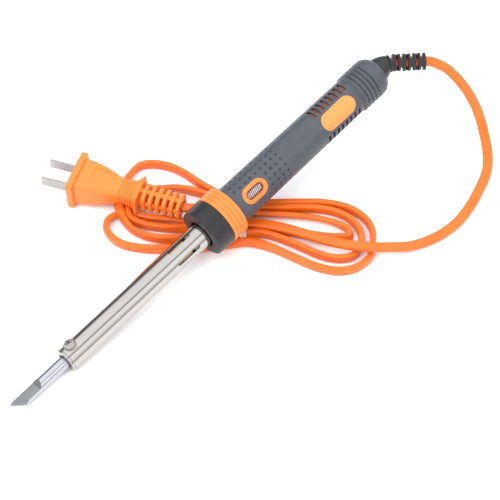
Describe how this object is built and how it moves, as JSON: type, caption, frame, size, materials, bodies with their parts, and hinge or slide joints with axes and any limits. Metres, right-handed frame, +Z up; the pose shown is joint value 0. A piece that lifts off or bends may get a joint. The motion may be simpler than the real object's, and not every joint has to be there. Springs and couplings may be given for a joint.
{
  "type": "soldering iron",
  "caption": "Mains soldering iron with a knife tip in a slotted steel barrel, a black collar, a ribbed two-colour handle with a lamp window, and a flat cord to a two-blade plug.",
  "frame": {"origin": "on the surface that the iron lies on, under the middle of the iron's own length, cord left out", "axes": "+Z up; the iron's axis lies in the XZ plane with the tip towards -X and the cord end towards +X, 6.8 degrees higher at the cord end"},
  "size_m": [0.31, 0.1878, 0.0461],
  "materials": {
    "tip_steel": "ground and plated",
    "barrel_steel": "polished nickel",
    "fastener_steel": "bright plated",
    "heater_steel": "heat tinted",
    "mica": "layered, matte",
    "winding_wire": "oxidised",
    "ceramic_white": "unglazed",
    "glass_fibre": "braided",
    "collar_black": "moulded, satin",
    "orange_plastic": "moulded, satin",
    "grip_grey": "soft overmould",
    "lens_clear": "ribbed, clear",
    "lamp_glass": "clear",
    "resistor_body": "lacquered",
    "board_green": "solder resist",
    "relief_black": "moulded, matte",
    "cord_orange": "smooth, soft vinyl",
    "connector_blue": "moulded",
    "clamp_grey": "moulded",
    "tie_clear": "thin clear plastic",
    "plug_orange": "moulded, satin",
    "blade_steel": "nickel plated"
  },
  "bodies": {
    "iron": {"end_ring": "barrel_steel", "barrel_tube": "barrel_steel", "barrel_flange": "fastener_steel", "flange_screws": "fastener_steel", "heater_tube": "heater_steel", "inner_mica": "mica", "heater_winding": "winding_wire", "outer_mica": "mica", "rear_insulator": "ceramic_white", "heater_leads": "fastener_steel", "lead_sleeves": "glass_fibre", "front_collar": "collar_black", "grip_ring": "orange_plastic", "handle_core": "orange_plastic", "grip_sleeve": "grip_grey", "indicator_bezel": "orange_plastic", "indicator_lens": "lens_clear", "neon_lamp": "lamp_glass", "lamp_resistor": "resistor_body", "lamp_board": "board_green", "lamp_leads": "fastener_steel", "badge_pad": "orange_plastic", "rear_cap": "grip_grey", "strain_relief": "relief_black", "inner_cord": "cord_orange", "crimp_connectors": "connector_blue", "cord_clamp": "clamp_grey", "clamp_screws": "fastener_steel", "cord": "cord_orange", "cord_hank": "cord_orange", "cord_tie": "tie_clear", "plug_body": "plug_orange", "plug_blades": "blade_steel", "plug_relief": "plug_orange"},
    "tip": {"tip": "tip_steel"},
    "washer": {"screw_washer": "fastener_steel"},
    "screw": {"tip_screw": "fastener_steel"}
  },
  "joints": [
    {"name": "tip_slide", "type": "slide", "parent": "iron", "child": "tip", "axis": [-0.993, 0, -0.1184], "range_m": [-0.014, 0.03]},
    {"name": "screw_lift", "type": "slide", "parent": "iron", "child": "washer", "axis": [-0.1156, 0.2164, 0.9694], "range_m": [0, 0.002]},
    {"name": "screw_turn", "type": "hinge", "parent": "washer", "child": "screw", "pos_m": [-0.09601, 0.00173, 0.0145], "axis": [-0.1156, 0.2164, 0.9694], "range_deg": [0, 1440]}
  ],
  "couplings": [
    {"joint": "screw_turn", "follows": "screw_lift", "rad_per_m": 12566}
  ]
}
